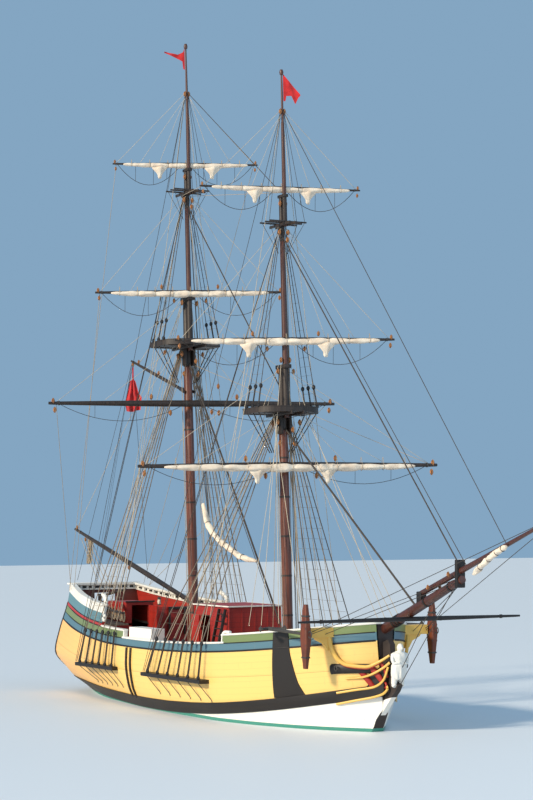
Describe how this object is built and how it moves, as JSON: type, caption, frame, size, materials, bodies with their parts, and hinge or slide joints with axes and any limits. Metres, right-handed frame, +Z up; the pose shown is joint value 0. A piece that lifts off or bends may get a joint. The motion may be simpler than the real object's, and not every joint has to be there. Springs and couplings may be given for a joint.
{
  "type": "two-masted brig with furled square sails",
  "caption": "Wooden square-rigged brig: planked hull, deckhouse, bracing yards with furled sails, spanker boom, gaff, windlass and rudder.",
  "frame": {"origin": "amidships on the centreline at the waterline, where the water holds the hull up", "axes": "+X towards the bow, +Y to port, +Z up"},
  "size_m": [36.7653, 12.3998, 31.1404],
  "materials": {
    "ochre_paint": "weathered yellow ochre paint on planking, with blue and green strips above",
    "white_paint": "cream white paint",
    "red_paint": "red paint",
    "gold_paint": "gold paint",
    "black_paint": "tarred black paint",
    "deck_wood": "scrubbed deck planking",
    "varnished_wood": "red-brown varnish",
    "dark_wood": "dark oiled wood",
    "canvas": "cream sailcloth, furled",
    "rope": "tarred hemp",
    "bunting": "red bunting",
    "anchor_iron": "black iron with a wooden stock"
  },
  "bodies": {
    "ship": {"hull": "ochre_paint", "side_planking_port": "ochre_paint", "side_planking_starboard": "ochre_paint", "transom": "ochre_paint", "quarterdeck": "deck_wood", "cabin_bulkhead": "red_paint", "cabin_companion": "red_paint", "quarter_rail": "white_paint", "cap_rail_port": "white_paint", "cap_rail_starboard": "white_paint", "deckhouse": "red_paint", "main_hatch": "deck_wood", "deck_locker": "white_paint", "windlass_bitts": "varnished_wood", "fore_channel_port": "black_paint", "fore_channel_starboard": "black_paint", "main_channel_port": "black_paint", "main_channel_starboard": "black_paint", "cathead_port": "gold_paint", "cathead_starboard": "gold_paint", "bowsprit": "varnished_wood", "jibboom": "dark_wood", "figurehead": "white_paint", "head_rails_port": "gold_paint", "head_rails_starboard": "gold_paint", "anchor_port": "anchor_iron", "anchor_starboard": "anchor_iron", "main_lower_mast": "varnished_wood", "main_topmast": "dark_wood", "main_topgallant_mast": "dark_wood", "fore_lower_mast": "varnished_wood", "fore_topmast": "dark_wood", "fore_topgallant_mast": "dark_wood", "main_stay": "rope", "main_topmast_stay": "rope", "fore_stay": "rope", "fore_topmast_stay": "rope", "staysail_furled": "canvas", "jib_furled": "canvas", "pennant": "bunting", "fore_flag": "bunting"},
    "rudder": {"rudder": "black_paint"},
    "windlass_barrel": {"windlass_barrel": "varnished_wood"},
    "cabin_door": {"cabin_door": "varnished_wood"},
    "deckhouse_door": {"deckhouse_door": "red_paint"},
    "boom": {"spanker_boom": "dark_wood"},
    "gaff": {"gaff": "dark_wood", "ensign": "bunting"},
    "spritsail_yard": {"spritsail_yard": "dark_wood"},
    "main_lower_yard": {"main_lower_yard": "dark_wood"},
    "main_topsail_yard": {"main_topsail_yard": "dark_wood", "main_topsail_sail_furled": "canvas"},
    "main_topgallant_yard": {"main_topgallant_yard": "dark_wood", "main_topgallant_sail_furled": "canvas"},
    "fore_lower_yard": {"fore_lower_yard": "dark_wood", "fore_lower_sail_furled": "canvas"},
    "fore_topsail_yard": {"fore_topsail_yard": "dark_wood", "fore_topsail_sail_furled": "canvas"},
    "fore_topgallant_yard": {"fore_topgallant_yard": "dark_wood", "fore_topgallant_sail_furled": "canvas"}
  },
  "joints": [
    {"name": "rudder_steering", "type": "hinge", "parent": "ship", "child": "rudder", "pos_m": [-11.522, 0, 0], "axis": [0, 0, 1], "range_deg": [-35, 35]},
    {"name": "windlass_turn", "type": "hinge", "parent": "ship", "child": "windlass_barrel", "pos_m": [7.5, 0, 2.69924], "axis": [0, 1, 0], "continuous": true},
    {"name": "cabin_door_swing", "type": "hinge", "parent": "ship", "child": "cabin_door", "pos_m": [-5.06, -0.84, 2.5], "axis": [0, 0, 1], "range_deg": [-90, 80]},
    {"name": "deckhouse_door_swing", "type": "hinge", "parent": "ship", "child": "deckhouse_door", "pos_m": [0.295, -1.24, 2.7], "axis": [0, 0, 1], "range_deg": [0, 180]},
    {"name": "boom_swing", "type": "hinge", "parent": "ship", "child": "boom", "pos_m": [-2.58363, 0, 4.24357], "axis": [-0.055, 0, 0.9985], "range_deg": [-35, 35]},
    {"name": "gaff_swing", "type": "hinge", "parent": "ship", "child": "gaff", "pos_m": [-3.07563, 0, 13.18004], "axis": [-0.055, 0, 0.9985], "range_deg": [-30, 30]},
    {"name": "main_lower_yard_brace", "type": "hinge", "parent": "ship", "child": "main_lower_yard", "pos_m": [-3.04347, 0, 12.59592], "axis": [-0.055, 0, 0.9985], "range_deg": [-18, 42]},
    {"name": "main_topsail_yard_brace", "type": "hinge", "parent": "ship", "child": "main_topsail_yard", "pos_m": [-3.02722, 0, 17.39407], "axis": [-0.055, 0, 0.9985], "range_deg": [-10, 50]},
    {"name": "main_topgallant_yard_brace", "type": "hinge", "parent": "ship", "child": "main_topgallant_yard", "pos_m": [-3.08379, 0, 22.96939], "axis": [-0.055, 0, 0.9985], "range_deg": [-10, 50]},
    {"name": "fore_lower_yard_brace", "type": "hinge", "parent": "ship", "child": "fore_lower_yard", "pos_m": [4.87683, 0, 9.84458], "axis": [-0.046, 0, 0.9989], "range_deg": [-18, 42]},
    {"name": "fore_topsail_yard_brace", "type": "hinge", "parent": "ship", "child": "fore_topsail_yard", "pos_m": [4.92661, 0, 14.85216], "axis": [-0.046, 0, 0.9989], "range_deg": [-10, 50]},
    {"name": "fore_topgallant_yard_brace", "type": "hinge", "parent": "ship", "child": "fore_topgallant_yard", "pos_m": [4.89608, 0, 20.95221], "axis": [-0.046, 0, 0.9989], "range_deg": [-16, 44]},
    {"name": "spritsail_yard_brace", "type": "hinge", "parent": "ship", "child": "spritsail_yard", "pos_m": [13.83943, 0, 4.22744], "axis": [-0.3692, 0, 0.9294], "range_deg": [-20, 20]}
  ]
}
